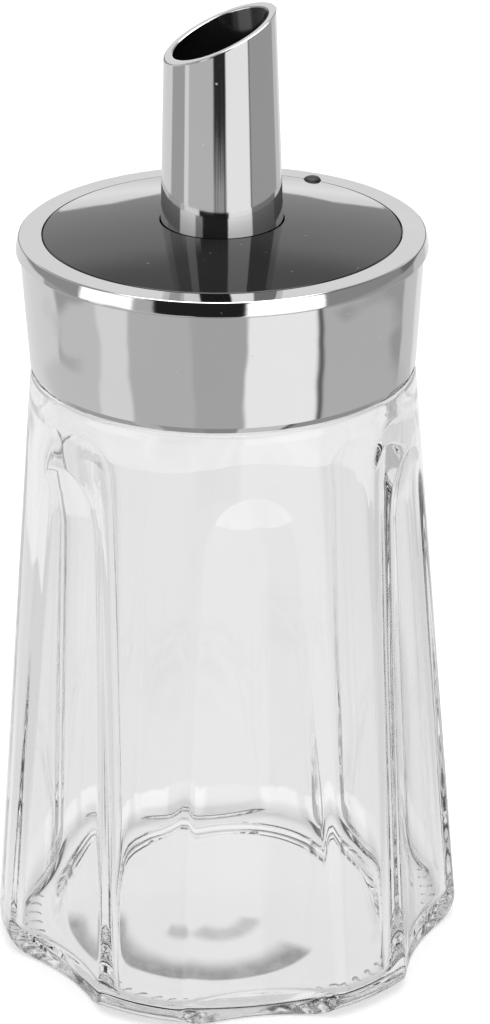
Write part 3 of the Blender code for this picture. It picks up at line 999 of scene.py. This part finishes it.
def paper_material():
    """White paper under and round the jar, as seen through its glass, glowing with painted light
    instead of being lit.

    It carries a soft foot shadow, patches of light thrown by the jar, and two arcs of shade.
    """
    material, nodes, shader, place = new_material("painted_light_paper")
    split = nodes.add("ShaderNodeSeparateXYZ")
    nodes.link(place, split.inputs[0])
    across, along = split.outputs[0], split.outputs[1]
    radius = nodes.length(across, along)
    ring = nodes.band(radius, FOOT_SHADOW)
    aside = nodes.map(nodes.math("ABSOLUTE", across), *PAPER_EDGE, 0.0, 1.0, "SMOOTHSTEP")
    level = nodes.map(aside, 0.0, 1.0, PAPER_LEVEL, PAPER_SIDE_LEVEL)
    forward = nodes.math("MULTIPLY", along, -1.0)
    forward = nodes.map(forward, *PAPER_FRONT, 0.0, 1.0, "SMOOTHSTEP")
    brighter = nodes.math("SUBTRACT", THROUGH_GLASS[1], level)
    level = nodes.math("MULTIPLY_ADD", brighter, forward, level)
    level = nodes.math("MULTIPLY", level, nodes.map(ring, 0.0, 1.0, 1.0, FOOT_SHADOW_LEVEL))

    ragged = nodes.texture(place, GLOW_RAGGED_SCALE, 4.0, 0.6)
    ragged = nodes.map(ragged, 0.0, 1.0, -GLOW_RAGGED, GLOW_RAGGED)
    glow = nodes.band(nodes.math("ADD", radius, ragged), GLOW_RING)
    behind = nodes.map(along, 0.0, GLOW_BEHIND, 0.0, 1.0)
    patches = 0.0
    for low, high in GLOW_PATCHES:
        edges = (low - GLOW_EDGE, low + GLOW_EDGE, high - GLOW_EDGE, high + GLOW_EDGE)
        patches = nodes.math("ADD", patches, nodes.band(across, edges))
    patches = nodes.map(patches, 0.0, 1.0, GLOW_BETWEEN, 1.0)
    glow = nodes.math("MULTIPLY", nodes.math("MULTIPLY", glow, behind), patches)
    level = nodes.math("ADD", level, nodes.math("MULTIPLY", glow, GLOW_LEVEL))

    shifted = nodes.math("ADD", along, SHADOW_SHIFT[1])
    sideways = nodes.math("ADD", across, SHADOW_SHIFT[0])
    radius = nodes.length(sideways, shifted)
    turn = nodes.math("ARCTAN2", sideways, nodes.math("MULTIPLY", shifted, -1.0))
    turn = nodes.math("DEGREES", turn)
    grain = nodes.texture(place, SHADOW_GRAIN_SCALE, 3.0, 0.7)
    grain = nodes.map(grain, *SHADOW_GRAIN_RANGE, SHADOW_GRAIN_LEAST, 1.0)
    for edges, span, darkest in (OUTER_SHADOW, INNER_SHADOW):
        arc_shadow = nodes.math("MULTIPLY", nodes.band(radius, edges), nodes.band(turn, span))
        arc_shadow = nodes.math("MULTIPLY", arc_shadow, grain)
        level = nodes.math("MULTIPLY", level, nodes.map(arc_shadow, 0.0, 1.0, 1.0, darkest))
    # The painted light and shade above set how brightly the paper glows
    nodes.link(level, shader.inputs["Emission Strength"])
    shader.inputs["Base Color"].default_value = grey(0.0)
    shader.inputs["Emission Color"].default_value = grey(1.0)
    shader.inputs["Specular IOR Level"].default_value = 0.0
    return material


def backdrop_material():
    """Plain white backdrop that glows evenly."""
    material, nodes, shader, place = new_material("white_backdrop")
    cloud = nodes.texture(place, BACKDROP_CLOUD_SCALE)
    shade = nodes.mix_colour(cloud, grey(BACKDROP_SHADES[0]), grey(BACKDROP_SHADES[1]))
    nodes.link(shade, shader.inputs["Base Color"])
    nodes.link(shade, shader.inputs["Emission Color"])
    shader.inputs["Emission Strength"].default_value = 1.0
    return material


def zone_ramp(nodes, turn, zones):
    """Brightness by azimuth, with a short blend where one zone meets the next."""
    ramp = nodes.add("ShaderNodeValToRGB")
    nodes.link(turn, ramp.inputs["Fac"])
    stops = []
    for i, (start, level) in enumerate(zones):
        before = zones[i - 1][1]
        if i > 0:
            stops.append((start - ZONE_EDGE, before))
            stops.append((start + ZONE_EDGE, level))
        else:
            stops.append((start, level))
    elements = ramp.color_ramp.elements
    stops.append((180.0, zones[-1][1]))
    for azimuth, _ in stops[1:-1]:
        elements.new((azimuth + 180.0) / 360.0)
    for element, (_, level) in zip(elements, stops):
        element.color = grey(level / TOP_LEVEL)
    return ramp.outputs["Color"]


def build_world():
    """A soft studio: layers of zones from the table up to the light overhead."""
    world = bpy.data.worlds.new("studio")
    world.use_nodes = True
    bpy.context.scene.world = world
    nodes = Nodes(world.node_tree)
    direction = nodes.add("ShaderNodeTexCoord").outputs["Generated"]
    unit = nodes.add("ShaderNodeVectorMath", operation="NORMALIZE")
    nodes.link(direction, unit.inputs[0])
    split = nodes.add("ShaderNodeSeparateXYZ")
    nodes.link(unit.outputs[0], split.inputs[0])
    x, y, z = split.outputs
    azimuth = nodes.math("ARCTAN2", x, nodes.math("MULTIPLY", y, -1.0))
    azimuth = nodes.math("SUBTRACT", azimuth, VIEW_AZIMUTH)
    azimuth = nodes.math("WRAP", azimuth, math.pi, -math.pi)
    turn = nodes.map(azimuth, -math.pi, math.pi, 0.0, 1.0)
    elevation = nodes.math("DEGREES", nodes.math("ARCSINE", z))

    mottle = nodes.texture(unit.outputs[0], EDGE_MOTTLE_SCALE)
    mottle = nodes.map(mottle, 0.0, 1.0, -EDGE_MOTTLE, EDGE_MOTTLE)
    mottled = nodes.math("ADD", elevation, mottle)
    from_front = nodes.math("ABSOLUTE", nodes.math("DEGREES", azimuth))
    from_back = nodes.math("SUBTRACT", 180.0, from_front)
    raised = nodes.map(from_back, *MIDDLE_RAISE_SPAN, *MIDDLE_RAISE)
    low_middle = nodes.math("SUBTRACT", elevation, raised)

    wander = nodes.math("MULTIPLY", mottle, HORIZON_WANDER)
    horizon = zone_ramp(nodes, nodes.math("ADD", turn, wander), HORIZON)
    glow = nodes.map(elevation, 0.0, BEHIND_GLOW_UP_TO, *BEHIND_GLOW)
    aside = nodes.map(from_back, *BEHIND_GLOW_SPAN, 0.0, 1.0)
    glow = nodes.mix_colour(aside, glow, grey(1.0))
    horizon = nodes.math("MULTIPLY", horizon, glow)

    colour = zone_ramp(nodes, turn, TABLE_NEAR)
    layers = (
        (zone_ramp(nodes, turn, TABLE_FAR), elevation, TABLE_FAR_SPAN),
        (zone_ramp(nodes, turn, TABLE_EDGE), mottled, TABLE_EDGE_SPAN),
        (horizon, elevation, HORIZON_SPAN),
        (zone_ramp(nodes, turn, MIDDLE), low_middle, MIDDLE_SPAN),
        (zone_ramp(nodes, turn, HIGH), elevation, HIGH_SPAN),
        (grey(OVERHEAD_LEVEL / TOP_LEVEL), elevation, OVERHEAD_SPAN),
    )
    for above, height, span in layers:
        share = nodes.map(height, *span, 0.0, 1.0, "SMOOTHSTEP")
        colour = nodes.mix_colour(share, colour, above)
    under = nodes.map(elevation, *UNDER_SPAN, UNDER_LEVEL, 1.0, "SMOOTHSTEP")
    level = nodes.math("MULTIPLY", colour, under)
    lowest, highest = (value / TOP_LEVEL for value in THROUGH_GLASS)
    calm = nodes.map(level, 0.0, highest, lowest, highest)
    through = nodes.add("ShaderNodeLightPath").outputs["Is Transmission Ray"]
    colour = nodes.mix_colour(through, level, calm)
    light = nodes.add("ShaderNodeBackground")
    nodes.link(colour, light.inputs["Color"])
    light.inputs["Strength"].default_value = TOP_LEVEL
    output = nodes.add("ShaderNodeOutputWorld")
    nodes.link(light.outputs[0], output.inputs["Surface"])


def build_stage():
    """The table, the paper that only the glass sees, and the backdrop that the camera sees."""
    maker = bmesh.new()
    bmesh.ops.create_circle(maker, cap_ends=True, segments=STAGE_STEPS, radius=TABLE_RADIUS)
    mesh = finish_mesh(maker, "table")
    mesh.materials.append(floor_material())
    table = bpy.data.objects.new("table", mesh)
    table.location.z = TABLE_Z
    bpy.context.scene.collection.objects.link(table)
    table.visible_glossy = False
    table.visible_transmission = False

    maker = bmesh.new()
    bmesh.ops.create_circle(maker, cap_ends=True, segments=STAGE_STEPS, radius=PAPER_RADIUS)
    mesh = finish_mesh(maker, "paper")
    mesh.materials.append(paper_material())
    paper = bpy.data.objects.new("paper", mesh)
    paper.location.z = PAPER_Z
    paper.rotation_euler.z = VIEW_AZIMUTH
    bpy.context.scene.collection.objects.link(paper)
    paper.visible_camera = False
    paper.visible_diffuse = False
    paper.visible_glossy = False
    paper.visible_shadow = False

    maker = bmesh.new()
    around, upwards = BACKDROP_STEPS
    bmesh.ops.create_uvsphere(
        maker, u_segments=around, v_segments=upwards, radius=BACKDROP_RADIUS
    )
    mesh = finish_mesh(maker, "backdrop")
    mesh.materials.append(backdrop_material())
    backdrop = bpy.data.objects.new("backdrop", mesh)
    bpy.context.scene.collection.objects.link(backdrop)
    backdrop.visible_diffuse = False
    backdrop.visible_glossy = False
    backdrop.visible_transmission = False
    backdrop.visible_shadow = False


def build_camera():
    """The camera, at the photograph's angle and framing."""
    turn = Vector((math.cos(VIEW_AZIMUTH), math.sin(VIEW_AZIMUTH), 0.0))
    level = math.cos(VIEW_ELEVATION)
    back = polar(level, VIEW_AZIMUTH, math.sin(VIEW_ELEVATION))
    rise = back.cross(turn)
    right = turn * math.cos(VIEW_ROLL) + rise * math.sin(VIEW_ROLL)
    up = rise * math.cos(VIEW_ROLL) - turn * math.sin(VIEW_ROLL)
    lens = bpy.data.cameras.new("camera")
    lens.sensor_fit = "VERTICAL"
    lens.sensor_height = SENSOR_HEIGHT_MM
    lens.sensor_width = SENSOR_HEIGHT_MM
    lens.lens = FOCAL_PX / FRAME_HEIGHT_PX * SENSOR_HEIGHT_MM
    lens.shift_x = (0.5 * FRAME_WIDTH_PX - OPTICAL_CENTRE_PX[0]) / FRAME_HEIGHT_PX
    lens.shift_y = (OPTICAL_CENTRE_PX[1] - 0.5 * FRAME_HEIGHT_PX) / FRAME_HEIGHT_PX
    lens.clip_start = NEAREST_SEEN
    camera = bpy.data.objects.new("camera", lens)
    turned = Matrix((right, up, back)).transposed().to_4x4()
    place = Vector((0.0, 0.0, VIEW_TARGET_Z)) + back * VIEW_DISTANCE
    camera.matrix_world = Matrix.Translation(place) @ turned
    bpy.context.scene.collection.objects.link(camera)
    bpy.context.scene.camera = camera


def build_pieces():
    """The four pieces, each in place of its solid."""
    collar = chrome_material("collar_plating", COLLAR_RIPPLE)
    spout = chrome_material("spout_plating", SPOUT_RIPPLE)
    black = black_material("disc_moulding", DISC_ROUGHNESS)
    bore = black_material("bore_moulding", BORE_ROUGHNESS)
    add_piece("jar_glass", jar_mesh(), ["glass_jar"], [glass_material()])
    add_piece("collar_chrome", collar_mesh(), ["lid_collar"], [collar])
    add_piece("disc_black", disc_mesh(), ["lid_disc"], [black])
    add_piece("spout_chrome", spout_mesh(), ["pour_spout"], [spout, bore])


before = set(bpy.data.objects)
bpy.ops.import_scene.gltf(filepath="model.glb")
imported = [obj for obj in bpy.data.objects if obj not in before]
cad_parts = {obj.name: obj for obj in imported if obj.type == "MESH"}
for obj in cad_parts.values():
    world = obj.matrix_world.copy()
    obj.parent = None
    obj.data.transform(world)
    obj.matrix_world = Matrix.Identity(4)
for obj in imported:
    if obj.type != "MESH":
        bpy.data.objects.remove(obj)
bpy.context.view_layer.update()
build_camera()
build_world()
build_stage()
build_pieces()
settings = bpy.context.scene
settings.view_settings.view_transform = "Standard"
settings.cycles.max_bounces = GLASS_BOUNCES
settings.cycles.transmission_bounces = GLASS_BOUNCES
settings.cycles.glossy_bounces = MIRROR_BOUNCES
